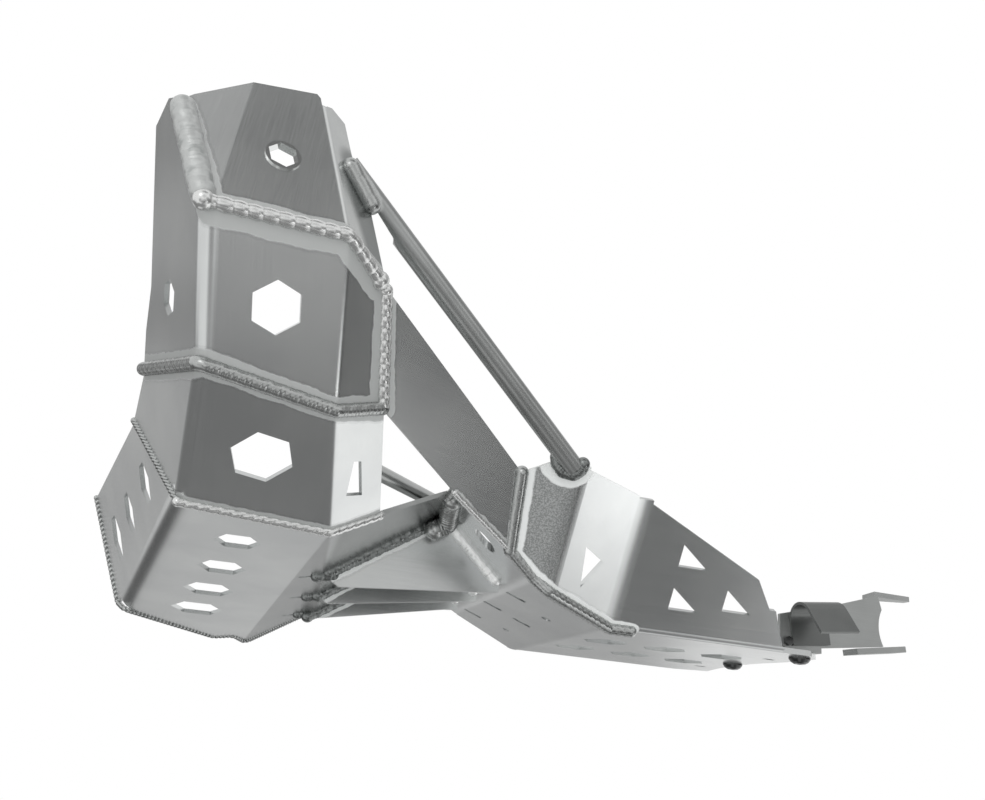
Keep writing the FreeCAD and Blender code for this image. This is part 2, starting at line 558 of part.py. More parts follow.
# Side panel between the guard and the near wing
side_panel = leaf([PANEL_FRONT_TOP, MID_EDGE_R, PANEL_FRONT_FOOT, PANEL_REAR_FOOT,
                   PANEL_REAR_TOP], PANEL, PANEL_T)
side_panel = clear_of(side_panel, [skid_plate, guard_middle, guard_lower])

# Three ribs under the bridge
ribs = []
for y in RIB_YS:
    aft = y - RIB_NEAR_Y
    foot_z = RIB_FOOT_Z - aft * RIB_FOOT_DROP
    corners = [Vector(RIB_TIP_X + aft * RIB_TIP_SKEW, y, foot_z + RIB_TIP_RISE),
               Vector(RIB_FOOT_X, y, foot_z), Vector(RIB_HEEL_X, y, RIB_REAR_Z),
               Vector(RIB_END_X, y, RIB_REAR_Z + RIB_END_RISE), Vector(RIB_END_X, y, RIB_TOP_Z),
               Vector(RIB_TIP_X, y, RIB_TOP_Z)]
    face = Part.Face(Part.makePolygon([c - Y * (RIB_T / 2) for c in corners + corners[:1]]))
    rib = face.extrude(Y * RIB_T)
    rib = rib.cut(beyond(BRIDGE[0], BRIDGE[1] * -1)).cut(beyond(STEEP[0], STEEP[1] * -1))
    ribs.append(clear_of(rib, [belly_pan, skid_plate]))

# Tubes: the long brace over the gap and the short one behind the bridge
brace_dir = BRACE_ENDS[1] - BRACE_ENDS[0]
top_brace = Part.makeCylinder(TUBE_R, brace_dir.Length, BRACE_ENDS[0], brace_dir)
top_brace = top_brace.cut(Part.makeCylinder(TUBE_R - TUBE_WALL, brace_dir.Length,
                                            BRACE_ENDS[0], brace_dir))
top_brace = clear_of(top_brace, [guard_top, skid_plate])
rear_dir = REAR_BRACE_ENDS[1] - REAR_BRACE_ENDS[0]
rear_brace = Part.makeCylinder(REAR_TUBE_R, rear_dir.Length, REAR_BRACE_ENDS[0], rear_dir)
rear_brace = clear_of(rear_brace, [guard_lower, belly_pan, skid_plate])

# Rear fixing: bracket with a cradle for the frame tube, and its clip
web_corners = [Vector(x, BRACKET_Y, z) for x, z in BRACKET_OUTLINE]
web = Part.Face(Part.makePolygon(web_corners + web_corners[:1])).extrude(Y * BRACKET_T)
cradle = Part.makeCylinder(CRADLE_R, CUT_DEPTH, Vector(CRADLE_NECK_X + CRADLE_R,
                                                       BRACKET_Y - BRACKET_T, CRADLE_Z), Y)
web = web.cut(cradle)
foot = Part.makeBox(FOOT_END_X - BRACKET_X, FOOT_END_Y - BRACKET_Y, BRACKET_T,
                    Vector(BRACKET_X, BRACKET_Y, PLATE_T))
foot = foot.cut(Part.makeCylinder(BOLT_HOLE_R, CUT_DEPTH, Vector(BOLT_XS[1], BOLT_YS[1], 0)))
rear_bracket = web.fuse(foot)
tongue_corners = [Vector(x, BRACKET_Y + y, TONGUE_Z) for x, y in TONGUE_OUTLINE]
tongue = Part.Face(Part.makePolygon(tongue_corners + tongue_corners[:1])).extrude(Z * TONGUE_T)
bracket_tongue = clear_of(tongue, [rear_bracket])
bar = Part.makeBox(BAR_L, BAR_W, BAR_T, BAR_AT)
bar.rotate(BAR_AT, Y, -BAR_TILT)
bracket_bar = clear_of(bar, [rear_bracket])

clip_start = [Vector(CLIP_X + dx, BRACKET_Y - dy, CLIP_Z)
              for dx, dy in ((0, 0), (CLIP_W, 0), (CLIP_W, CLIP_T), (0, CLIP_T))]
clip_face = Part.Face(Part.makePolygon(clip_start + clip_start[:1]))
clip_axis = Vector(CLIP_X, BRACKET_Y - CLIP_R, CLIP_Z)
clip_arc = clip_face.revolve(clip_axis, X, CLIP_SWEEP)
tab_face = clip_face.copy()
tab_face.rotate(clip_axis, X, CLIP_SWEEP)
sweep = math.radians(CLIP_SWEEP)
tab = tab_face.extrude(Vector(0, -math.sin(sweep), math.cos(sweep)) * CLIP_TAB)
frame_clip = clip_arc.fuse(tab).fuse(clip_face.extrude(Z * -CLIP_LEG))
frame_clip.rotate(Vector(CLIP_X, BRACKET_Y, CLIP_Z - CLIP_LEG), Y, -CLIP_TILT)

# Fasteners: two button bolts with washers and nuts, and the clip's nut


def hex_nut(base, axis, flats, height, bore):
    """A hexagonal nut that stands on a base along an axis."""
    side = flats / math.sqrt(3)
    rim = hexagon((base, axis), base, side, aside(axis))
    nut = Part.Face(Part.makePolygon(rim + rim[:1])).extrude(axis * height)
    return nut.cut(Part.makeCylinder(bore, height, base, axis)) if bore else nut


bolts, washers, nuts = [], [], []
for x, y, seat in ((BOLT_XS[0], BOLT_YS[0], PLATE_T), (BOLT_XS[1], BOLT_YS[1],
                                                      PLATE_T + BRACKET_T)):
    centre = Vector(x, y, 0)
    rim = centre + X * HEAD_R - Z * HEAD_RIM
    crown = centre + X * SOCKET_FLATS - Z * HEAD_H
    brow = (rim + crown) * 0.5 + (X - Z) * HEAD_RIM * 0.4
    profile = Part.makePolygon([crown, centre - Z * HEAD_H, centre, centre + X * HEAD_R, rim,
                                brow, crown])
    head = Part.Face(profile).revolve(centre, Z, 360)
    head = head.cut(hex_nut(centre - Z * HEAD_H, Z, SOCKET_FLATS, SOCKET_H, 0))
    shank_top = seat + WASHER_T + NUT_H + 2
    bolts.append(head.fuse(Part.makeCylinder(BOLT_R, shank_top, Vector(x, y, 0))))
    washer = Part.makeCylinder(WASHER_R, WASHER_T, Vector(x, y, seat))
    washers.append(washer.cut(Part.makeCylinder(BOLT_HOLE_R, WASHER_T, Vector(x, y, seat))))
    nuts.append(hex_nut(Vector(x, y, seat + WASHER_T), Z, NUT_FLATS, NUT_H, BOLT_R))
clip_nut = hex_nut(CLIP_NUT_AT, Y * -1, CLIP_NUT_FLATS, CLIP_NUT_H, 0)

# Weld beads, each cut back to the sheets and beads that it runs on


def along_bridge(x, y):
    """A point of the bridge's lower surface."""
    p, n = BRIDGE
    return Vector(x, y, p.z - ((x - p.x) * n.x + (y - p.y) * n.y) / n.z)


rim_path = [CAP_TOP, CAP_LOW, BELLY_RIM_L] + FAR_NOTCH[::-1] + [BELLY_FOLD_FAR, FAR_TIP, SIDE_END]
seams = [
    ("weld_top_middle", [SEAM_TOP_L, SEAM_TOP_R, TOP_EDGE_R], BEAD_R, [guard_top, guard_middle]),
    ("weld_top_left", [TOP_EDGE_L, SEAM_TOP_L], BEAD_R, [guard_top, guard_middle]),
    ("weld_middle_lower", [MID_EDGE_L, SEAM_MID_L, SEAM_MID_R, MID_EDGE_R], BEAD_R,
     [guard_middle, guard_lower, side_panel]),
    ("weld_panel_guard", [PANEL_EDGE_TOP, MID_EDGE_R], BEAD_R,
     [guard_middle, guard_lower, side_panel, guard_top]),
    ("weld_lower_belly", [SEAM_LOW_L, SEAM_LOW_R, LOW_EDGE_R], SMALL_BEAD_R,
     [guard_lower, belly_pan]),
    ("weld_left_belly", [LOW_EDGE_L, SEAM_LOW_L], EDGE_BEAD_R, [guard_lower, belly_pan]),
    ("weld_belly_rim", rim_path, EDGE_BEAD_R, [belly_pan]),
    ("weld_panel_wing", [PANEL_REAR_TOP - Z * 2, PANEL_REAR_FOOT + Z * 2], BEAD_R,
     [skid_plate, side_panel]),
    ("weld_panel_foot", [PANEL_REAR_FOOT, PANEL_FRONT_FOOT], EDGE_BEAD_R,
     [skid_plate, side_panel]),
    ("weld_wing_front", [PANEL_REAR_FOOT, front_near, BAND_FOOT, WING_FOOT,
                         Vector(WING_SEAM_END_X, NEAR_BEND_Y, 0)], BEAD_R,
     [skid_plate, side_panel]),
    ("weld_brace_top", BRACE_TOP_SEAM, BRACE_BEAD_R, [guard_top, top_brace]),
    ("weld_brace_foot", BRACE_FOOT_SEAM, BRACE_BEAD_R, [skid_plate, top_brace]),
    ("weld_bridge_end", BRIDGE_POOL, POOL_R, [belly_pan, skid_plate] + ribs),
    ("weld_bridge_corner", BRIDGE_CORNER_SEAM, SMALL_BEAD_R, [belly_pan, skid_plate, rear_brace]),
]
for tag, rib, y in zip(("near", "middle", "far"), ribs, RIB_YS):
    side = y - RIB_T / 2
    seams.append(("weld_bridge_" + tag, [along_bridge(x, side) for x in RIB_BRIDGE_XS],
                  BEAD_R, [belly_pan, skid_plate, rib]))
    seams.append(("weld_steep_" + tag, [steep_point(x, side) for x in RIB_STEEP_XS],
                  SMALL_BEAD_R, [belly_pan, skid_plate, rib]))
    seams.append(("weld_slot_" + tag, [on(BELLY_SIDE, Vector(x, side, 0)) for x in RIB_POOL_XS],
                  BEAD_R, [belly_pan, rib]))
welds = []
for name, path, radius, sheets in seams:
    welds.append((name, bead(path, radius, sheets + [w for _, w in welds])))

for name, shape in [("skid_plate", skid_plate), ("belly_pan", belly_pan),
                    ("guard_lower", guard_lower), ("guard_middle", guard_middle),
                    ("guard_top", guard_top), ("guard_ring", guard_ring),
                    ("side_panel", side_panel), ("rib_near", ribs[0]), ("rib_middle", ribs[1]),
                    ("rib_far", ribs[2]), ("top_brace", top_brace),
                    ("rear_brace", rear_brace), ("rear_bracket", rear_bracket),
                    ("bracket_tongue", bracket_tongue), ("bracket_bar", bracket_bar),
                    ("frame_clip", frame_clip), ("bolt_centre", bolts[0]),
                    ("bolt_near", bolts[1]), ("washer_centre", washers[0]),
                    ("washer_near", washers[1]), ("nut_centre", nuts[0]),
                    ("nut_near", nuts[1]), ("clip_nut", clip_nut)] + welds:
    export(shape, name)
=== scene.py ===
import math

import bpy
from mathutils import Matrix, Vector


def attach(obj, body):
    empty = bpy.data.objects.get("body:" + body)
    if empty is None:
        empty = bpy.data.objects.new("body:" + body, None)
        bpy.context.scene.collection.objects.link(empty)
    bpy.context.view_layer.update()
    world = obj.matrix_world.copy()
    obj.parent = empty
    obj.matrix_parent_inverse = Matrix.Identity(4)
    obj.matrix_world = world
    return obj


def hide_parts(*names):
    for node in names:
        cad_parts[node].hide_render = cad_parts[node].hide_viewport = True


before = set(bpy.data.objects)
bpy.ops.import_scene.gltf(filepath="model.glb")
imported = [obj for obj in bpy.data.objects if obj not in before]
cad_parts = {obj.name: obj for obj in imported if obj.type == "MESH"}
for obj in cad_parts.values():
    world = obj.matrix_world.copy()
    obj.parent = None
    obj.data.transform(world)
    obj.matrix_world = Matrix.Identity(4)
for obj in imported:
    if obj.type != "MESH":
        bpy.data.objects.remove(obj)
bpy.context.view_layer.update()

# Folded sheets. The plate, the belly, the guard pieces and the panel are
# sheet aluminium, cut and folded, then brushed in long strokes. Heat from
# the welding leaves a paler matt band with a ragged edge beside each seam.
SHEET_LIGHT = "d9dbda"
SHEET_DARK = "cbcdcd"
SHEET_ROUGH = 0.24
ROUGH_DOWN, ROUGH_UP = 0.015, 0.02
HEAT_PALE = "b6b8b7"
HEAT_WHITE = "e4e6e5"
HEAT_EDGE = "9a9d9c"
HEAT_EDGE_SHARE = 0.2
HEAT_ROUGH = 0.5
HEAT_W = 0.0076
HEAT_SOFT = 0.0009
HEAT_WANDER = 0.0045
# A darker colour laid in a strip down the top's flange.
FLANGE_DARKER_STRIP = "949796"
# Painted shade laid over the belly's bridge, which faces down among the ribs.
BRIDGE_PAINTED_SHADE = "a4a6a5"
DARKER_BAND_SOFT = 0.004
BLAST_DARK = "a4a7a6"
BLAST_ROUGH = 0.38
BLAST_NEAR, BLAST_FAR = 0.0015, 0.005
BLAST_FADE = 0.008
BUMP_STRENGTH = 0.15
BUMP_DEPTH = 0.0002
STROKE_BUMP = 0.2
BLAST_BUMP = 3.0

# A brush stroke is 90 mm long and 0.45 mm wide, and a blasted pit is 0.9 mm.
# Both are finer in real metal, and are drawn as coarse as they need to show.
# The clouds in the shade are 60 mm, and a heat edge wanders over 20 and 4 mm.
STROKE_LONG = 0.09
STROKE_FINE = 0.00045
STROKE_SHARE = 0.25
BLAST_PITS_PER_M = 1150
CLOUDS_PER_M = 16
WANDERS_PER_M = 48
RAGS_PER_M = 260
RAG_SHARE = 0.3


def mm(x, y, z):
    """A place given in millimetres."""
    return Vector((x, y, z)) * 0.001


def linear(code):
    """A hex colour as linear red, green, blue and alpha."""
    parts = [int(code[i:i + 2], 16) / 255 for i in (0, 2, 4)]
    return [c / 12.92 if c <= 0.04045 else ((c + 0.055) / 1.055) ** 2.4 for c in parts] + [1.0]


def fill(tree, made, inputs):
    """Sets or links a node's inputs; a whole node stands for its first output in use."""
    for key, value in (inputs.items() if isinstance(inputs, dict) else enumerate(inputs)):
        if isinstance(value, bpy.types.Node):
            value = next(socket for socket in value.outputs if socket.enabled)
        if isinstance(value, bpy.types.NodeSocket):
            tree.links.new(value, made.inputs[key])
        else:
            made.inputs[key].default_value = value


def node(tree, kind, inputs=(), **settings):
    """Adds a node with its settings, and fills its inputs."""
    made = tree.nodes.new(kind)
    for key, value in settings.items():
        setattr(made, key, value)
    fill(tree, made, inputs)
    return made


def new_material(name, metallic, roughness):
    """A material with its tree, its shader and the place on the object."""
    material = bpy.data.materials.new(name)
    material.use_nodes = True
    tree = material.node_tree
    shader = tree.nodes["Principled BSDF"]
    fill(tree, shader, {"Metallic": metallic, "Roughness": roughness})
    place = node(tree, "ShaderNodeTexCoord").outputs["Object"]
    return material, tree, shader, place


def seam_distance_group():
    """A node group for the distance from a place to a straight seam."""
    group = bpy.data.node_groups.new("seam_distance", "ShaderNodeTree")
    for name in ("Place", "Start", "End"):
        group.interface.new_socket(name, in_out="INPUT", socket_type="NodeSocketVector")
    group.interface.new_socket("Distance", in_out="OUTPUT", socket_type="NodeSocketFloat")
    given = node(group, "NodeGroupInput").outputs
    run = node(group, "ShaderNodeVectorMath", (given["End"], given["Start"]),
               operation="SUBTRACT")
    away = node(group, "ShaderNodeVectorMath", (given["Place"], given["Start"]),
                operation="SUBTRACT")
    top = node(group, "ShaderNodeVectorMath", (away, run), operation="DOT_PRODUCT")
    low = node(group, "ShaderNodeVectorMath", (run, run), operation="DOT_PRODUCT")
    share = node(group, "ShaderNodeMath", (top, low), operation="DIVIDE", use_clamp=True)
    reached = node(group, "ShaderNodeVectorMath", {0: run, "Scale": share}, operation="SCALE")
    left = node(group, "ShaderNodeVectorMath", (away, reached), operation="SUBTRACT")
    length = node(group, "ShaderNodeVectorMath", (left,), operation="LENGTH")
    node(group, "NodeGroupOutput", {"Distance": length})
    return group


def past_heat(tree, place, seams):
    """How far a place lies outside bands round seams, each a path and half a width."""
    nearest = None
    for path, width in seams:
        for start, end in zip(path, path[1:]):
            measure = node(tree, "ShaderNodeGroup", {"Place": place, "Start": start, "End": end},
                           node_tree=SEAM_DISTANCE)
            past = node(tree, "ShaderNodeMath", (measure, width), operation="SUBTRACT")
            if nearest:
                past = node(tree, "ShaderNodeMath", (nearest, past), operation="MINIMUM")
            nearest = past
    return nearest


def brushed_sheet(name, direction, seams, light=SHEET_LIGHT, dark=SHEET_DARK, rough=SHEET_ROUGH,
                  pale=HEAT_PALE, matt=0.65, darker_bands=None, darker_colour=None, blasted=None):
    """Bare brushed metal, a satin grey that takes the tone of what it faces."""
    material, tree, shader, place = new_material(name, 1.0, rough)
    turn = Vector(direction).to_track_quat("X", "Z").to_euler()
    stretched = node(tree, "ShaderNodeMapping",
                     {"Vector": place, "Rotation": turn,
                      "Scale": (STROKE_LONG, STROKE_FINE, STROKE_FINE)}, vector_type="TEXTURE")
    strokes = node(tree, "ShaderNodeTexNoise", {"Vector": stretched, "Scale": 1.0, "Detail": 4.0,
                                                "Roughness": 0.6})
    clouds = node(tree, "ShaderNodeTexNoise", {"Vector": place, "Scale": CLOUDS_PER_M,
                                               "Detail": 3.0})
    clouds = node(tree, "ShaderNodeMath", (clouds, 1 - STROKE_SHARE), operation="MULTIPLY")
    shade = node(tree, "ShaderNodeMath", (strokes, STROKE_SHARE, clouds),
                 operation="MULTIPLY_ADD")
    shade = node(tree, "ShaderNodeMapRange", (shade, 0.3, 0.7), interpolation_type="SMOOTHSTEP")
    colour = node(tree, "ShaderNodeMix", {0: shade, 6: linear(dark), 7: linear(light)},
                  data_type="RGBA")
    roughness = node(tree, "ShaderNodeMapRange",
                     (strokes, 0.25, 0.75, rough - ROUGH_DOWN, rough + ROUGH_UP),
                     interpolation_type="SMOOTHSTEP")
    height = node(tree, "ShaderNodeMath", (strokes, STROKE_BUMP), operation="MULTIPLY")
    if blasted:
        foot, face, end_x = blasted
        away = node(tree, "ShaderNodeVectorMath", (place, foot), operation="SUBTRACT")
        away = node(tree, "ShaderNodeVectorMath", (away, face), operation="DOT_PRODUCT")
        away = node(tree, "ShaderNodeMath", (away,), operation="ABSOLUTE")
        on_face = node(tree, "ShaderNodeMapRange", (away, BLAST_FAR, BLAST_NEAR),
                       interpolation_type="SMOOTHSTEP")
        x = node(tree, "ShaderNodeSeparateXYZ", (place,))
        in_front = node(tree, "ShaderNodeMapRange", (x, end_x, end_x - BLAST_FADE),
                        interpolation_type="SMOOTHSTEP")
        here = node(tree, "ShaderNodeMath", (on_face, in_front), operation="MULTIPLY")
        grain = node(tree, "ShaderNodeTexNoise", {"Vector": place, "Scale": BLAST_PITS_PER_M,
                                                  "Detail": 2.0, "Roughness": 0.6})
        pits = node(tree, "ShaderNodeMapRange", (grain, 0.42, 0.58),
                    interpolation_type="SMOOTHSTEP")
        pits = node(tree, "ShaderNodeMath", (here, pits), operation="MULTIPLY")
        colour = node(tree, "ShaderNodeMix", {0: pits, 6: colour, 7: linear(BLAST_DARK)},
                      data_type="RGBA")
        worn = node(tree, "ShaderNodeMath", (here, BLAST_ROUGH), operation="MULTIPLY")
        roughness = node(tree, "ShaderNodeMath", (roughness, worn), operation="MAXIMUM")
        grain = node(tree, "ShaderNodeMath", (grain, here), operation="MULTIPLY")
        height = node(tree, "ShaderNodeMath", (grain, BLAST_BUMP, height),
                      operation="MULTIPLY_ADD")
    # Darker bands laid over the colour: painted shade on the bridge, a darker strip on the
    # flange.
    if darker_bands:
        darker_mask = node(tree, "ShaderNodeMapRange",
                     (past_heat(tree, place, darker_bands), DARKER_BAND_SOFT, -DARKER_BAND_SOFT),
                     interpolation_type="SMOOTHSTEP")
        colour = node(tree, "ShaderNodeMix", {0: darker_mask, 6: colour, 7: linear(darker_colour)},
                      data_type="RGBA")
    if seams:
        wander = node(tree, "ShaderNodeTexNoise", {"Vector": place, "Scale": WANDERS_PER_M,
                                                   "Detail": 2.0})
        wander = node(tree, "ShaderNodeMath", (wander, 0.5 + RAG_SHARE / 2),
                      operation="SUBTRACT")
        ragged = node(tree, "ShaderNodeTexNoise", {"Vector": place, "Scale": RAGS_PER_M,
                                                   "Detail": 2.0})
        wander = node(tree, "ShaderNodeMath", (ragged, RAG_SHARE, wander),
                      operation="MULTIPLY_ADD")
        past = node(tree, "ShaderNodeMath",
                    (wander, HEAT_WANDER, past_heat(tree, place, seams)),
                    operation="MULTIPLY_ADD")
        edge = node(tree, "ShaderNodeMath", (past, HEAT_SOFT), operation="SUBTRACT")
        edge = node(tree, "ShaderNodeMath", (edge,), operation="ABSOLUTE")
        edge = node(tree, "ShaderNodeMapRange", (edge, HEAT_SOFT, 0.0),
                    interpolation_type="SMOOTHSTEP")
        edge = node(tree, "ShaderNodeMath", (edge, HEAT_EDGE_SHARE), operation="MULTIPLY")
        colour = node(tree, "ShaderNodeMix", {0: edge, 6: colour, 7: linear(HEAT_EDGE)},
                      data_type="RGBA")
        band = node(tree, "ShaderNodeMapRange", (past, HEAT_SOFT, -HEAT_SOFT),
                    interpolation_type="SMOOTHSTEP")
        colour = node(tree, "ShaderNodeMix", {0: band, 6: colour, 7: linear(pale)},
                      data_type="RGBA")
        burnt = node(tree, "ShaderNodeMath", (band, HEAT_ROUGH), operation="MULTIPLY")
        roughness = node(tree, "ShaderNodeMath", (roughness, burnt), operation="MAXIMUM")
        bare = node(tree, "ShaderNodeMapRange", (band, 0.0, 1.0, 1.0, 1.0 - matt),
                    interpolation_type="SMOOTHSTEP")
        fill(tree, shader, {"Metallic": bare})
    bump = node(tree, "ShaderNodeBump", {"Strength": BUMP_STRENGTH, "Distance": BUMP_DEPTH,
                                         "Height": height})
    fill(tree, shader, {"Base Color": colour, "Roughness": roughness, "Normal": bump})
    return material


def dress(name, material):
    """Gives a piece of the frame its finish."""
    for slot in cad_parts[name].material_slots:
        slot.material = material


SEAM_DISTANCE = seam_distance_group()

# The corners of the seams, and the seams as paths through them.
TOP_L, TOP_R = mm(-383, -300.5, 152), mm(-310, -287, 158)
MID_L, MID_R = mm(-372, -259, 83.5), mm(-298.6, -238.8, 78)
LOW_L, LOW_R = mm(-373, -181, 28), mm(-284.8, -164.3, 26.7)
TOP_EDGE_L, TOP_EDGE_R = mm(-406.4, -291.8, 212.2), mm(-288.8, -263.2, 148)
MID_EDGE_L, MID_EDGE_R = mm(-408.8, -164.8, 107.2), mm(-272, -220.8, 90.6)
LOW_EDGE_L, LOW_EDGE_R = mm(-413, -120.4, 87.2), mm(-255, -151.3, 44.4)
PANEL_TOP, PANEL_FOOT = mm(-168.8, -163.5, 84), mm(-164, -136, 38.5)
PANEL_LOW = mm(-214, -173.5, 61)
BAND_FOOT, WING_FOOT, WING_START = mm(-134.8, -132.5, 15.8), mm(-80, -110, 0), mm(-64, -110, 0)
FRONT_NEAR = mm(-145, -131, 23.7)
SEAM_TOP = [TOP_L, TOP_R, TOP_EDGE_R]
SEAM_TOP_LEFT = [TOP_EDGE_L, TOP_L]
SEAM_MIDDLE = [MID_EDGE_L, MID_L, MID_R, MID_EDGE_R]
SEAM_PANEL = [mm(-284, -256.5, 146), MID_EDGE_R]
SEAM_LOWER = [LOW_L, LOW_R, LOW_EDGE_R]
SEAM_LOWER_LEFT = [LOW_EDGE_L, LOW_L]
SEAM_WING = [PANEL_TOP, PANEL_FOOT]
SEAM_FRONT = [PANEL_FOOT, FRONT_NEAR, BAND_FOOT, WING_FOOT, WING_START]
SEAM_PANEL_LOW = [PANEL_FOOT, PANEL_LOW]
BRACE_FOOT = [mm(-149.5, -175, 95), mm(-148.5, -174.5, 90.5), mm(-144.5, -174.3, 86.5),
              mm(-138.5, -175.7, 85), mm(-134.5, -178, 87), mm(-133.5, -180.5, 91.5)]
RIB_SIDES = {"near": -64.0, "middle": -3.5, "far": 57.0}
STEEP_SEAMS = {tag: [mm(-186, y, 61.9), mm(-152, y, 30.2)] for tag, y in RIB_SIDES.items()}

# The plate's wing has a blasted band at its front, beside the weld.
BAND_FACE = Vector((-0.267, -0.82, -0.506))
BAND_END_X = -0.1265
dress("skid_plate", brushed_sheet("brushed_aluminium_plate", (1, 0, 0),
                                  [(SEAM_FRONT, 0.0066), (SEAM_WING, 0.0085),
                                   (SEAM_PANEL_LOW, 0.003), (BRACE_FOOT, 0.0105),
                                   (STEEP_SEAMS["near"], 0.0035)],
                                  pale=HEAT_WHITE, matt=0.95,
                                  blasted=(BAND_FOOT, BAND_FACE, BAND_END_X)))
# The belly's bridge is darkened all over: painted shade among its ribs.
dress("belly_pan", brushed_sheet("brushed_aluminium_belly", (0, 1, 0),
                                 [(SEAM_LOWER, 0.0045), (SEAM_LOWER_LEFT, 0.003)],
                                 darker_bands=[([mm(-238, -160, 50), mm(-238, 70, 15)], 0.044)],
                                 darker_colour=BRIDGE_PAINTED_SHADE))
dress("guard_lower", brushed_sheet("brushed_aluminium_lower", MID_L - LOW_L,
                                   [(SEAM_MIDDLE, HEAT_W), (SEAM_LOWER, 0.005)]))
dress("guard_middle", brushed_sheet("brushed_aluminium_middle", TOP_L - MID_L,
                                    [(SEAM_TOP, 0.0115), (SEAM_TOP_LEFT, 0.006),
                                     (SEAM_MIDDLE, HEAT_W), (SEAM_PANEL, 0.0095)]))
# The top's flange gets a darker strip laid down it.
dress("guard_top", brushed_sheet("brushed_aluminium_top", (0.05, 0.23, 0.97),
                                 [(SEAM_TOP, 0.0075), (SEAM_TOP_LEFT, 0.0105)],
                                 darker_bands=[([mm(-312, -258.5, 214), mm(-301.2, -262.3, 187.2),
                                          mm(-285, -264.3, 148)], 0.0135)],
                                 darker_colour=FLANGE_DARKER_STRIP))
dress("side_panel", brushed_sheet("brushed_aluminium_panel", PANEL_TOP - MID_EDGE_R,
                                  [(SEAM_PANEL, 0.008), (SEAM_WING, 0.0045),
                                   (SEAM_PANEL_LOW, 0.003)]))

# The ring is turned, which leaves it lighter and smoother than the sheets.
dress("guard_ring", brushed_sheet("turned_aluminium_ring", (1, 0, 0), [], light="e4e5e4",
                                  dark="d4d6d5", rough=0.12))

# Ribs and braces. Three ribs of 4 mm plate stand in slots below the bridge,
# and two drawn tubes hold the guard to the wing and to the bridge. The upper
# tube is made here, with its side ground flat on the guard's flange.
RIB_BRIDGE = {"near": (19.4, 63.7), "middle": (9.9, 54.2), "far": (0.3, 44.7)}
BRIDGE_SEAMS = {tag: [mm(-272, y, RIB_BRIDGE[tag][0]), mm(-205, y, RIB_BRIDGE[tag][1])]
                for tag, y in RIB_SIDES.items()}
for tag in RIB_SIDES:
    dress("rib_" + tag, brushed_sheet("brushed_aluminium_rib_" + tag, (1, 0, 0),
                                      [(BRIDGE_SEAMS[tag], 0.0075), (STEEP_SEAMS[tag], 0.0035)],
                                      pale=HEAT_WHITE, matt=0.95))
TUBE_R = 0.0067
TUBE_WALL = 0.0015
TUBE_TOP, TUBE_FOOT = mm(-315.9, -257.9, 218.2), mm(-138.4, -177.7, 89)
FLANGE_PLACE, FLANGE_FACE = mm(-322, -267.7, 220), Vector((0.676, -0.664, 0.319)).normalized()
FLANGE_RUN = 0.05


def drawn_tube(start, end, radius, wall, sides=64, steps=60):
    """A tube between two places, its start ground flat against the flange."""
    turn = (end - start).to_track_quat("Z", "Y").to_matrix()
    rings = []
    for shell in (radius, radius - wall):
        for i in range(steps + 1):
            reach = (end - start) * i / steps
            ring = []
            for k in range(sides):
                angle = 2 * math.pi * k / sides
                spoke = turn @ Vector((math.cos(angle), math.sin(angle), 0)) * shell
                spot = start + reach + spoke
                depth = (spot - FLANGE_PLACE).dot(FLANGE_FACE)
                if depth < 0 and reach.length < FLANGE_RUN:
                    spot = spot - FLANGE_FACE * depth
                ring.append(spot)
            rings.append(ring)
    verts = [spot for ring in rings for spot in ring]
    faces = []
    inner = (steps + 1) * sides
    last = steps * sides
    for k in range(sides):
        there = (k + 1) % sides
        faces.append((k, inner + k, inner + there, there))
        faces.append((last + k, last + there, inner + last + there, inner + last + k))
        for low in range(0, last, sides):
            a, b = low + k, low + there
            faces.append((a, b, b + sides, a + sides))
            faces.append((inner + a, inner + a + sides, inner + b + sides, inner + b))
    mesh = bpy.data.meshes.new("top_brace_tube")
    mesh.from_pydata(verts, [], faces)
    mesh.shade_smooth()
    mesh.set_sharp_from_angle(angle=math.radians(50))
    return mesh


# Drawn aluminium is an even grey, a little darker and duller than the sheets.
TUBE_LIGHT = "b4b6b5"
TUBE_DARK = "9c9e9d"
TUBE_ROUGH = 0.3
BRACE_TOP = [mm(-314.5, -267, 211), mm(-299.5, -260, 194.5)]
tube = bpy.data.objects.new("top_brace_tube", drawn_tube(TUBE_TOP, TUBE_FOOT, TUBE_R, TUBE_WALL))
bpy.context.scene.collection.objects.link(tube)
tube.data.materials.append(brushed_sheet("drawn_aluminium_top", TUBE_FOOT - TUBE_TOP,
                                         [(BRACE_TOP, 0.0105)], TUBE_LIGHT, TUBE_DARK,
                                         TUBE_ROUGH))
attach(tube, "root")
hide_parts("top_brace")
dress("rear_brace", brushed_sheet("drawn_aluminium_rear", (73.5, 99.5, 6.5), [], TUBE_LIGHT,
                                  TUBE_DARK, TUBE_ROUGH))

# Rear fixing. The bracket, its tongue and bar are zinc-plated steel, an even
# grey with a wide soft gloss. The clip that holds the frame tube is a strap of
# dark steel, bent round it.
PLATED_LIGHT = "b6b8b7"
PLATED_DARK = "a0a2a1"
STRAP_LIGHT = "7e807f"
STRAP_DARK = "686a69"
plated = brushed_sheet("zinc_plated_steel", (1, 0, 0), [], PLATED_LIGHT, PLATED_DARK, rough=0.4)
for name in ("rear_bracket", "bracket_tongue", "bracket_bar"):
    dress(name, plated)
dress("frame_clip", brushed_sheet("dark_steel_strap", (0, 1, 0), [], STRAP_LIGHT, STRAP_DARK,
                                  rough=0.34))

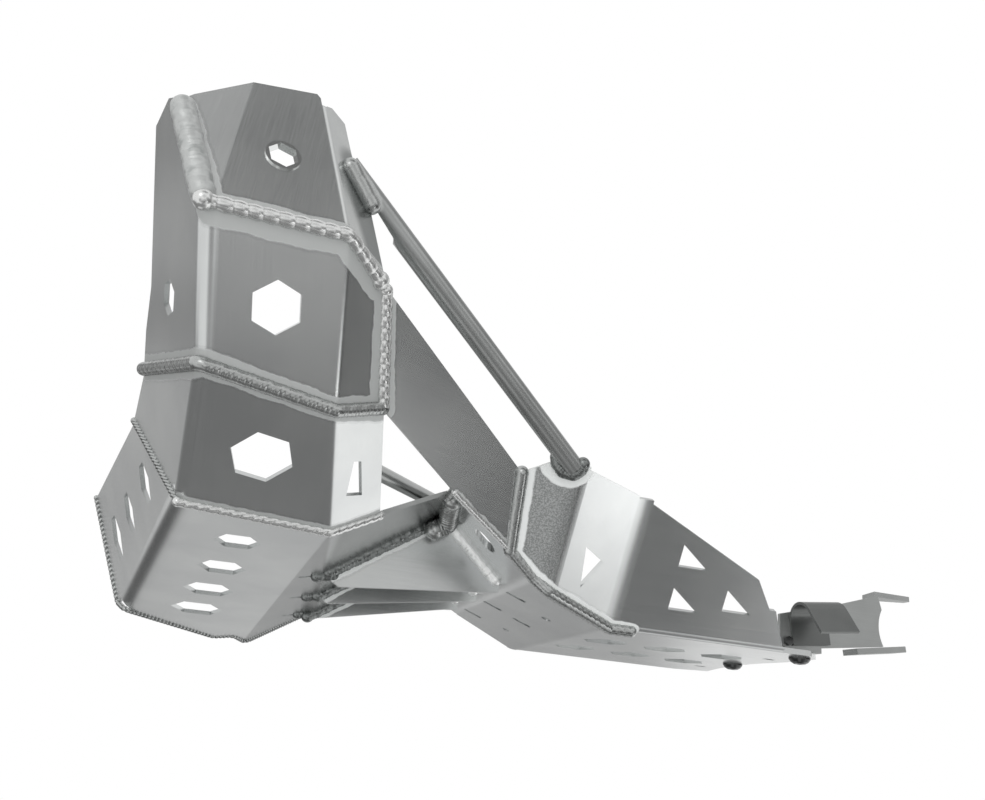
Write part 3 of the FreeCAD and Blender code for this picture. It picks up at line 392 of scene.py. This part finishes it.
# Fasteners. Button bolts come up through the plate at the rear and take plated
# washers and black nuts; a small nut holds the clip. Black oxide leaves steel
# nearly black with small sharp highlights; its specks are drawn coarse, at 1 mm.
OXIDE_DARK = "4a4b4b"
OXIDE_LIGHT = "5c5d5d"
SPECKS_PER_M = 900
oxide, tree, shader, place = new_material("black_oxide_steel", metallic=1.0, roughness=0.2)
speck = node(tree, "ShaderNodeTexNoise", {"Vector": place, "Scale": SPECKS_PER_M, "Detail": 3.0})
colour = node(tree, "ShaderNodeMix", {0: speck, 6: linear(OXIDE_DARK), 7: linear(OXIDE_LIGHT)},
              data_type="RGBA")
roughness = node(tree, "ShaderNodeMapRange", (speck, 0.2, 0.8, 0.14, 0.26),
                 interpolation_type="SMOOTHSTEP")
fill(tree, shader, {"Base Color": colour, "Roughness": roughness})
for name in ("bolt_centre", "bolt_near", "nut_centre", "nut_near", "clip_nut"):
    dress(name, oxide)
for name in ("washer_centre", "washer_near"):
    dress(name, plated)

# Weld beads. Each seam is laid by hand with a filler rod, so a bead is a smooth
# round rope with fine leaning ripples and a fuller pool at each pause. The metal
# is painted lighter on its crests and darker in its hollows: painted highlight and shade.
BEAD_R = 0.0042
RIPPLE_PITCH = 0.0021
RIPPLE_DEPTH = 0.04
POOL_PITCH = 0.0075
POOL_DEPTH = 0.1
BEND_R = 0.0045
BEND_STEPS = 6
RING_STEP = 0.0004
ROPE_SIDES = 20

# The bead's pits are 2.4 mm, the patches of its shade 8 mm and its lumps 4 mm,
# and its ripples come early or late over 11 mm.
WELD_PITS_PER_M = 420
PATCHES_PER_M = 130
LUMPS_PER_M = 230
JITTERS_PER_M = 90
JITTER = 0.6
PIT_SHARE = 0.05
HOLLOW_AT, CREST_AT = 0.475, 0.55


def weld_metal(name, crest_highlight, hollow_shade, low, high, metallic=1.0, mottle=0.1):
    """Cast-looking weld metal between two colours and two roughnesses, the colours
    being painted highlight on its crests and painted shade in its hollows.
    """
    material, tree, shader, place = new_material(name, metallic, low)
    pits = node(tree, "ShaderNodeTexNoise", {"Vector": place, "Scale": WELD_PITS_PER_M,
                                             "Detail": 3.0, "Roughness": 0.55})
    patches = node(tree, "ShaderNodeTexNoise", {"Vector": place, "Scale": PATCHES_PER_M,
                                                "Detail": 2.0})
    patches = node(tree, "ShaderNodeMath", (patches, 0.5), operation="SUBTRACT")
    highlight_mask = node(tree, "ShaderNodeNewGeometry").outputs["Pointiness"]
    highlight_mask = node(tree, "ShaderNodeMath", (pits, PIT_SHARE, highlight_mask), operation="MULTIPLY_ADD")
    highlight_mask = node(tree, "ShaderNodeMath", (patches, mottle, highlight_mask), operation="MULTIPLY_ADD")
    highlight_mask = node(tree, "ShaderNodeMapRange", (highlight_mask, HOLLOW_AT, CREST_AT),
                 interpolation_type="SMOOTHSTEP")
    # Painted highlight on pointed crests, painted shade in hollows.
    colour = node(tree, "ShaderNodeMix", {0: highlight_mask, 6: linear(hollow_shade), 7: linear(crest_highlight)},
                  data_type="RGBA")
    roughness = node(tree, "ShaderNodeMapRange", (pits, 0.25, 0.75, low, high),
                     interpolation_type="SMOOTHSTEP")
    bump = node(tree, "ShaderNodeBump", {"Strength": BUMP_STRENGTH, "Distance": BUMP_DEPTH,
                                         "Height": pits})
    fill(tree, shader, {"Base Color": colour, "Roughness": roughness, "Normal": bump})
    return material


# One weld metal in lighter and darker copies, bead by bead: partly each bead's own tone, partly
# painted light and shade.
BRIGHT_WELD = weld_metal("weld_bright", crest_highlight="dadbda", hollow_shade="727574", low=0.2, high=0.3,
                         metallic=0.9, mottle=0.02)
WHITE_WELD = weld_metal("weld_white", crest_highlight="f8f9f8", hollow_shade="a0a3a2", low=0.3, high=0.45,
                        metallic=0.7)
GREY_WELD = weld_metal("weld_grey", crest_highlight="b0b2b1", hollow_shade="626564", low=0.2, high=0.34)
DARK_WELD = weld_metal("weld_dark", crest_highlight="838685", hollow_shade="484b4a", low=0.22, high=0.36)
PALE_WELD = weld_metal("weld_pale", crest_highlight="bcbebd", hollow_shade="9da09f", low=0.36, high=0.5,
                       metallic=0.6, mottle=0.3)


def swell(tree, run, pitch, depth):
    """Humps along a run, with a sharp valley at the end of each."""
    turns = node(tree, "ShaderNodeMath", (run, pitch), operation="DIVIDE")
    angle = node(tree, "ShaderNodeMath", (turns, math.pi), operation="MULTIPLY")
    wave = node(tree, "ShaderNodeMath", (angle,), operation="SINE")
    hump = node(tree, "ShaderNodeMath", (wave,), operation="ABSOLUTE")
    below = node(tree, "ShaderNodeMath", (hump, 1.0), operation="SUBTRACT")
    return node(tree, "ShaderNodeMath", (below, depth), operation="MULTIPLY")


def bead_tree():
    """Geometry nodes that draw a rope of weld metal along a path."""
    tree = bpy.data.node_groups.new("laid_bead", "GeometryNodeTree")
    sockets = (("Path", "NodeSocketGeometry", None), ("Radius", "NodeSocketFloat", 0.004),
               ("Ripple Pitch", "NodeSocketFloat", RIPPLE_PITCH),
               ("Ripple Depth", "NodeSocketFloat", RIPPLE_DEPTH),
               ("Pool Pitch", "NodeSocketFloat", POOL_PITCH),
               ("Pool Depth", "NodeSocketFloat", POOL_DEPTH),
               ("Lean", "NodeSocketFloat", 0.5), ("Slant", "NodeSocketFloat", 0.0),
               ("Roughness", "NodeSocketFloat", 0.04), ("Ends", "NodeSocketFloat", 1.0),
               ("Inside", "NodeSocketVector", None), ("Metal", "NodeSocketMaterial", None))
    for name, kind, value in sockets:
        made = tree.interface.new_socket(name, in_out="INPUT", socket_type=kind)
        if value is not None:
            made.default_value = value
    tree.interface.new_socket("Bead", in_out="OUTPUT", socket_type="NodeSocketGeometry")
    given = node(tree, "NodeGroupInput").outputs
    line = node(tree, "GeometryNodeMeshToCurve", (given["Path"],))
    line = node(tree, "GeometryNodeFilletCurve", {"Curve": line, "Count": BEND_STEPS,
                                                  "Radius": BEND_R, "Limit Radius": True},
                mode="POLY")
    line = node(tree, "GeometryNodeResampleCurve", {"Curve": line, "Length": RING_STEP},
                mode="LENGTH")
    spot = node(tree, "GeometryNodeInputPosition")
    length = node(tree, "GeometryNodeSplineParameter").outputs["Length"]
    tangent = node(tree, "GeometryNodeInputTangent")
    keep = node(tree, "GeometryNodeCaptureAttribute", domain="POINT")
    for kind, name in (("VECTOR", "Middle"), ("FLOAT", "Run"), ("VECTOR", "Ahead")):
        keep.capture_items.new(kind, name)
    fill(tree, keep, (line, spot, length, tangent))
    kept, middle, run, ahead = keep.outputs[:4]
    circle = node(tree, "GeometryNodeCurvePrimitiveCircle", {"Resolution": ROPE_SIDES,
                                                             "Radius": given["Radius"]})
    rope = node(tree, "GeometryNodeCurveToMesh", {"Curve": kept, "Profile Curve": circle,
                                                  "Fill Caps": True})
    spoke = node(tree, "ShaderNodeVectorMath", (spot, middle), operation="SUBTRACT")
    out = node(tree, "ShaderNodeVectorMath", (spoke,), operation="NORMALIZE")
    away = node(tree, "ShaderNodeVectorMath", (middle, given["Inside"]), operation="SUBTRACT")
    away = node(tree, "ShaderNodeVectorMath", (away,), operation="NORMALIZE")
    across = node(tree, "ShaderNodeVectorMath", (ahead, away), operation="CROSS_PRODUCT")
    across = node(tree, "ShaderNodeVectorMath", (across,), operation="NORMALIZE")
    high = node(tree, "ShaderNodeVectorMath", (out, away), operation="DOT_PRODUCT")
    high = node(tree, "ShaderNodeMath", (high, given["Lean"]), operation="MULTIPLY")
    side = node(tree, "ShaderNodeVectorMath", (out, across), operation="DOT_PRODUCT")
    side = node(tree, "ShaderNodeMath", (side, given["Slant"]), operation="MULTIPLY")
    shift = node(tree, "ShaderNodeMath", (high, side), operation="ADD")
    jitter = node(tree, "ShaderNodeTexNoise", {"Vector": middle, "Scale": JITTERS_PER_M,
                                               "Detail": 1.0})
    shift = node(tree, "ShaderNodeMath", (jitter, JITTER, shift), operation="MULTIPLY_ADD")
    leaning = node(tree, "ShaderNodeMath", (shift, given["Radius"], run),
                   operation="MULTIPLY_ADD")
    ripples = swell(tree, leaning, given["Ripple Pitch"], given["Ripple Depth"])
    pools = swell(tree, leaning, given["Pool Pitch"], given["Pool Depth"])
    humps = node(tree, "ShaderNodeMath", (ripples, pools), operation="ADD")
    lumps = node(tree, "ShaderNodeTexNoise", {"Vector": spot, "Scale": LUMPS_PER_M,
                                              "Detail": 3.0})
    lumps = node(tree, "ShaderNodeMath", (lumps, 0.5), operation="SUBTRACT")
    rough = node(tree, "ShaderNodeMath", (given["Roughness"], 2.0), operation="MULTIPLY")
    humps = node(tree, "ShaderNodeMath", (lumps, rough, humps), operation="MULTIPLY_ADD")
    moved = node(tree, "ShaderNodeVectorMath", {0: spoke, "Scale": humps}, operation="SCALE")
    rope = node(tree, "GeometryNodeSetPosition", {0: rope, "Offset": moved})
    tips = node(tree, "GeometryNodeCurveEndpointSelection")
    ball = node(tree, "GeometryNodeMeshUVSphere", {"Segments": 24, "Rings": 12,
                                                   "Radius": given["Radius"]})
    balls = node(tree, "GeometryNodeInstanceOnPoints", {"Points": line, "Selection": tips,
                                                        "Instance": ball,
                                                        "Scale": given["Ends"]})
    joined = node(tree, "GeometryNodeJoinGeometry", (rope,))
    fill(tree, joined, (balls,))
    smooth = node(tree, "GeometryNodeSetShadeSmooth", (joined,))
    whole = node(tree, "GeometryNodeRealizeInstances", (smooth,))
    dressed = node(tree, "GeometryNodeSetMaterial", {0: whole, "Material": given["Metal"]})
    node(tree, "NodeGroupOutput", (dressed,))
    return tree


def lay_bead(name, path, inside, metal, radius=BEAD_R, **sizes):
    """One rippled bead along a path, in place of the frame's plain one."""
    mesh = bpy.data.meshes.new(name)
    mesh.from_pydata(path, [(i, i + 1) for i in range(len(path) - 1)], [])
    seam = bpy.data.objects.new(name + "_path", mesh)
    bpy.context.scene.collection.objects.link(seam)
    worker = seam.modifiers.new("laid_bead", "NODES")
    worker.node_group = BEAD_TREE
    values = {"Radius": radius, "Inside": inside, "Metal": metal}
    values.update({key.replace("_", " ").title(): value for key, value in sizes.items()})
    for item in BEAD_TREE.interface.items_tree:
        if item.in_out == "INPUT" and item.name in values:
            worker[item.identifier] = values[item.name]
    whole = seam.evaluated_get(bpy.context.evaluated_depsgraph_get())
    bead = bpy.data.objects.new(name, bpy.data.meshes.new_from_object(whole))
    bpy.data.objects.remove(seam)
    bpy.context.scene.collection.objects.link(bead)
    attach(bead, "root")
    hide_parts(name)


BEAD_TREE = bead_tree()
GUARD_INSIDE = mm(-345, -200, 120)
BELLY_INSIDE = mm(-345, -60, 90)
PLATE_INSIDE = mm(-80, 40, 160)
lay_bead("weld_top_middle", SEAM_TOP, GUARD_INSIDE, BRIGHT_WELD, lean=0.2,
         pool_pitch=0.0078, pool_depth=0.13, ripple_depth=0.0, roughness=0.02, ends=1.3)

# The bead up the top left corner is wide, and lies sunk into it.
SINK = Vector((0.3, 0.75, -0.1)) * 0.0022
CORNER = [TOP_EDGE_L.lerp(TOP_L, share) + SINK for share in (0.09, 0.9)]
lay_bead("weld_top_left", CORNER, GUARD_INSIDE, PALE_WELD, radius=0.0066, pool_depth=0.04,
         ripple_depth=0.015, roughness=0.2)

# The guard's other seams, down to the belly.
lay_bead("weld_middle_lower", SEAM_MIDDLE, GUARD_INSIDE, GREY_WELD, lean=0.9,
         pool_pitch=0.009, pool_depth=0.05, ripple_pitch=0.0026, ripple_depth=0.05)
lay_bead("weld_panel_guard", SEAM_PANEL, GUARD_INSIDE, BRIGHT_WELD, slant=1.0,
         pool_pitch=0.0066, pool_depth=0.16, ripple_depth=0.01)
lay_bead("weld_lower_belly", SEAM_LOWER, BELLY_INSIDE, BRIGHT_WELD, radius=0.003, slant=0.8,
         pool_pitch=0.0064, pool_depth=0.12, ripple_pitch=0.0024, ripple_depth=0.05)

# The thin beads along the belly's edges have deep coarse ripples and no pools.
RIM = [mm(-455.3, 97.7, 77.9), mm(-421.2, 104.3, -2.9), mm(-413, 80.3, -9.7),
       mm(-342, 146, -17.4), mm(-326, 134, -15.5), mm(-316.5, 147.1, -18), mm(-312, 148, -17),
       mm(-272.5, 60, 3)]
for name, path in (("weld_left_belly", SEAM_LOWER_LEFT), ("weld_belly_rim", RIM)):
    lay_bead(name, path, BELLY_INSIDE, GREY_WELD, radius=0.0022, slant=1.2, pool_depth=0.0,
             ripple_pitch=0.0038, ripple_depth=0.4)

# The panel's beads on the plate, and the long one along the plate's front.
lay_bead("weld_panel_wing", SEAM_WING, PLATE_INSIDE, GREY_WELD, radius=0.0047,
         pool_pitch=0.014, pool_depth=0.04, ripple_depth=0.01, roughness=0.06)
lay_bead("weld_panel_foot", SEAM_PANEL_LOW, PLATE_INSIDE, BRIGHT_WELD, radius=0.0022)
lay_bead("weld_wing_front", SEAM_FRONT, PLATE_INSIDE, GREY_WELD, lean=0.1,
         slant=-1.8, pool_pitch=0.0055, pool_depth=0.08, ripple_depth=0.0, roughness=0.01)

# The top brace's two ends, and the beads where the bridge meets the plate.
lay_bead("weld_brace_top", BRACE_TOP, GUARD_INSIDE, GREY_WELD, radius=0.0055,
         pool_pitch=0.011, pool_depth=0.05, ripple_depth=0.01, roughness=0.03)
lay_bead("weld_brace_foot", BRACE_FOOT, PLATE_INSIDE, DARK_WELD, radius=0.0047, roughness=0.1)
BRIDGE_END = [mm(-203, -73, 58), mm(-194, -74, 63), mm(-197, -90, 69), mm(-200.5, -110, 72)]
lay_bead("weld_bridge_end", BRIDGE_END, PLATE_INSIDE, GREY_WELD, radius=0.0075, lean=0.2,
         pool_depth=0.0, ripple_pitch=0.0026, ripple_depth=0.12)
BRIDGE_CORNER = [mm(-207, -119.5, 71), mm(-203.5, -135.5, 76)]
lay_bead("weld_bridge_corner", BRIDGE_CORNER, PLATE_INSIDE, GREY_WELD, radius=0.003)

# Each rib has a bead along the bridge, one on the steep front, and a short one
# at its slot, a little further in from its near side than the others.
RIB_SLOT = {"near": (15.1, 17.6), "middle": (8.2, 10.7), "far": (1.3, 3.8)}
SLOT_IN = 1.5
for tag, side in RIB_SIDES.items():
    low, high = RIB_SLOT[tag]
    slot = [mm(-280, side + SLOT_IN, low), mm(-269, side + SLOT_IN, high)]
    lay_bead("weld_bridge_" + tag, BRIDGE_SEAMS[tag], BELLY_INSIDE, DARK_WELD, radius=0.0052,
             pool_depth=0.05, roughness=0.16)
    lay_bead("weld_steep_" + tag, STEEP_SEAMS[tag], PLATE_INSIDE, WHITE_WELD, radius=0.0046,
             pool_depth=0.05, ripple_depth=0.02, roughness=0.22)
    lay_bead("weld_slot_" + tag, slot, BELLY_INSIDE, DARK_WELD, roughness=0.16)

# Floor. A plain matt floor far below, which fades to white before its edge
# can show. The metal doesn't mirror it: its reflections come from the screens.
FLOOR_Z = -0.5
FLOOR_HALF = 30
FLOOR_FADE_FROM = 1.6
FLOOR_FADE_TO = 2.6
WHITE = (1.0, 1.0, 1.0, 1.0)
sides = ((-1, -1), (1, -1), (1, 1), (-1, 1))
floor_mesh = bpy.data.meshes.new("floor")
floor_mesh.from_pydata([(x * FLOOR_HALF, y * FLOOR_HALF, FLOOR_Z) for x, y in sides], [],
                       [(0, 1, 2, 3)])
floor = bpy.data.objects.new("floor", floor_mesh)
bpy.context.scene.collection.objects.link(floor)
material, tree, shader, place = new_material("pale_floor", metallic=0.0, roughness=0.8)
fill(tree, shader, {"Base Color": linear("e6e7e7")})
away = node(tree, "ShaderNodeVectorMath", (place,), operation="LENGTH")
far = node(tree, "ShaderNodeMapRange", (away, FLOOR_FADE_FROM, FLOOR_FADE_TO),
           interpolation_type="SMOOTHSTEP")
rays = node(tree, "ShaderNodeLightPath").outputs["Is Camera Ray"]
far = node(tree, "ShaderNodeMath", (far, rays), operation="MULTIPLY")
white = node(tree, "ShaderNodeEmission", {"Color": WHITE})
mixed = node(tree, "ShaderNodeMixShader", (far, shader, white))
fill(tree, tree.nodes["Material Output"], {"Surface": mixed})
floor_mesh.materials.append(material)
floor.visible_glossy = False

# Lamps. Three large soft lamps: the key at the rear on the far side, a weaker
# one in front on the near side, and a low one for the faces turned down.
MIDDLE = (-0.15, -0.1, 0.1)


def soft_lamp(name, place, target, width, height, power):
    """A soft rectangular lamp that faces a place."""
    lamp = bpy.data.lights.new(name, "AREA")
    lamp.shape = "RECTANGLE"
    lamp.size = width
    lamp.size_y = height
    lamp.energy = power
    made = bpy.data.objects.new(name, lamp)
    made.location = place
    made.rotation_euler = (Vector(place) - Vector(target)).to_track_quat("Z", "Y").to_euler()
    made.visible_glossy = False
    bpy.context.scene.collection.objects.link(made)


soft_lamp("key_light", (1.6, 1.3, 0.5), MIDDLE, width=1.6, height=1.4, power=34)
soft_lamp("fill_light", (-0.6, -1.8, 0.9), MIDDLE, width=1.4, height=1.0, power=8)
soft_lamp("low_light", (-0.2, -1.3, -0.42), (-0.2, -0.1, 0.1), width=1.4, height=0.8, power=5)

# Surround. Grey and white screens round the object, as the metal sees them: each
# has a direction, a level, and the angles in degrees where it is full and where
# it ends. The camera sees plain white, and an even light falls from all round.
SKY_DIFFUSE = 0.7
SCREENS = [((0.1, 0.93, -0.3), 0.45, 26, 36), ((-0.62, 0.73, 0.3), 0.24, 9, 18),
           ((-0.61, 0.74, 0.28), 0.52, 1, 5), ((-0.72, 0.45, -0.5), 0.2, 20, 30),
           ((-0.75, 0.65, -0.1), 0.22, 8, 16), ((-0.4, 0.15, -0.9), 0.2, 16, 26),
           ((-0.53, 0.84, 0.09), 0.5, 5, 9), ((-0.39, 0.92, 0.04), 0.42, 5, 9),
           ((-0.02, -0.48, 0.88), 0.48, 10, 22), ((0.25, -0.46, 0.85), 0.18, 9, 14),
           ((0.5, 0.36, 0.79), 0.66, 14, 26), ((-0.96, -0.1, -0.3), 0.95, 12, 20),
           ((-0.4, -0.75, -0.55), 0.34, 10, 18), ((-0.02, -0.77, -0.64), 1.0, 8, 14),
           ((0.38, -0.76, -0.54), 0.43, 11, 20), ((0.99, -0.1, -0.08), 0.26, 16, 26),
           ((0.15, 0.09, -0.98), 0.22, 20, 34), ((0.82, 0.32, -0.48), 1.2, 14, 24),
           ((0.1, -0.62, -0.77), 0.25, 12, 20), ((-0.25, -0.62, -0.74), 0.42, 10, 16),
           ((0.0, 0.9, -0.43), 0.6, 9, 15), ((-0.41, 0.87, -0.28), 0.1, 7, 13),
           ((-0.14, 0.95, -0.28), 0.4, 4, 8), ((0.2, 0.94, -0.28), 0.34, 5, 9),
           ((0.45, 0.89, -0.08), 0.45, 7, 13), ((0.54, 0.83, -0.08), 1.1, 4, 9),
           ((0.85, -0.42, -0.3), 0.08, 19, 28), ((0.875, -0.34, -0.33), 0.36, 1, 6),
           ((0.74, -0.66, -0.05), 0.3, 12, 18), ((0.85, -0.05, 0.52), 0.4, 18, 28),
           ((-0.45, -0.83, 0.33), 2.5, 8, 14), ((0.46, -0.55, -0.7), 0.12, 9, 14),
           ((0.66, -0.36, -0.66), 0.85, 6, 10), ((0.71, -0.48, -0.53), 2.1, 5, 10),
           ((0.18, -0.97, 0.16), 0.66, 12, 22)]
world = bpy.data.worlds.new("surround")
bpy.context.scene.world = world
world.use_nodes = True
tree = world.node_tree
tree.nodes.clear()
rays = node(tree, "ShaderNodeLightPath").outputs
towards = node(tree, "ShaderNodeTexCoord").outputs["Generated"]
level = 1.0
for direction, shade, inner, outer in SCREENS:
    facing = node(tree, "ShaderNodeVectorMath", (towards, Vector(direction).normalized()),
                  operation="DOT_PRODUCT")
    ends = [math.cos(math.radians(angle)) for angle in (outer, inner)]
    covered = node(tree, "ShaderNodeMapRange", (facing, *ends), interpolation_type="SMOOTHSTEP")
    level = node(tree, "ShaderNodeMix", {0: covered, 2: level, 3: shade})
seen = node(tree, "ShaderNodeMath", (rays["Is Camera Ray"], rays["Is Transmission Ray"]),
            operation="MAXIMUM")
lit = node(tree, "ShaderNodeMix", {0: rays["Is Glossy Ray"], 2: seen, 3: level})
lift = node(tree, "ShaderNodeMath", (rays["Is Diffuse Ray"], SKY_DIFFUSE), operation="MULTIPLY")
strength = node(tree, "ShaderNodeMath", (lit, lift), operation="MAXIMUM")
surround = node(tree, "ShaderNodeBackground", {"Color": WHITE, "Strength": strength})
node(tree, "ShaderNodeOutputWorld", {"Surface": surround})

# Camera. It stands low in front of the guard, as in the photograph, in the
# place that the hexagons and the folds give.
CAMERA_PLACE = (-0.3366, -0.7201, -0.0817)
CAMERA_RIGHT = Vector((0.9550, -0.2815, 0.0934))
CAMERA_UP = Vector((-0.1820, -0.3080, 0.9340))
lens = bpy.data.cameras.new("camera")
lens.sensor_fit = "HORIZONTAL"
lens.sensor_width = 36.0
lens.lens = 33.92
back = CAMERA_RIGHT.cross(CAMERA_UP).normalized()
up = back.cross(CAMERA_RIGHT).normalized()
turn = Matrix((CAMERA_RIGHT.normalized(), up, back)).transposed()
camera = bpy.data.objects.new("camera", lens)
camera.matrix_world = Matrix.Translation(CAMERA_PLACE) @ turn.to_4x4()
bpy.context.scene.collection.objects.link(camera)
bpy.context.scene.camera = camera
bpy.context.scene.view_settings.view_transform = "Standard"
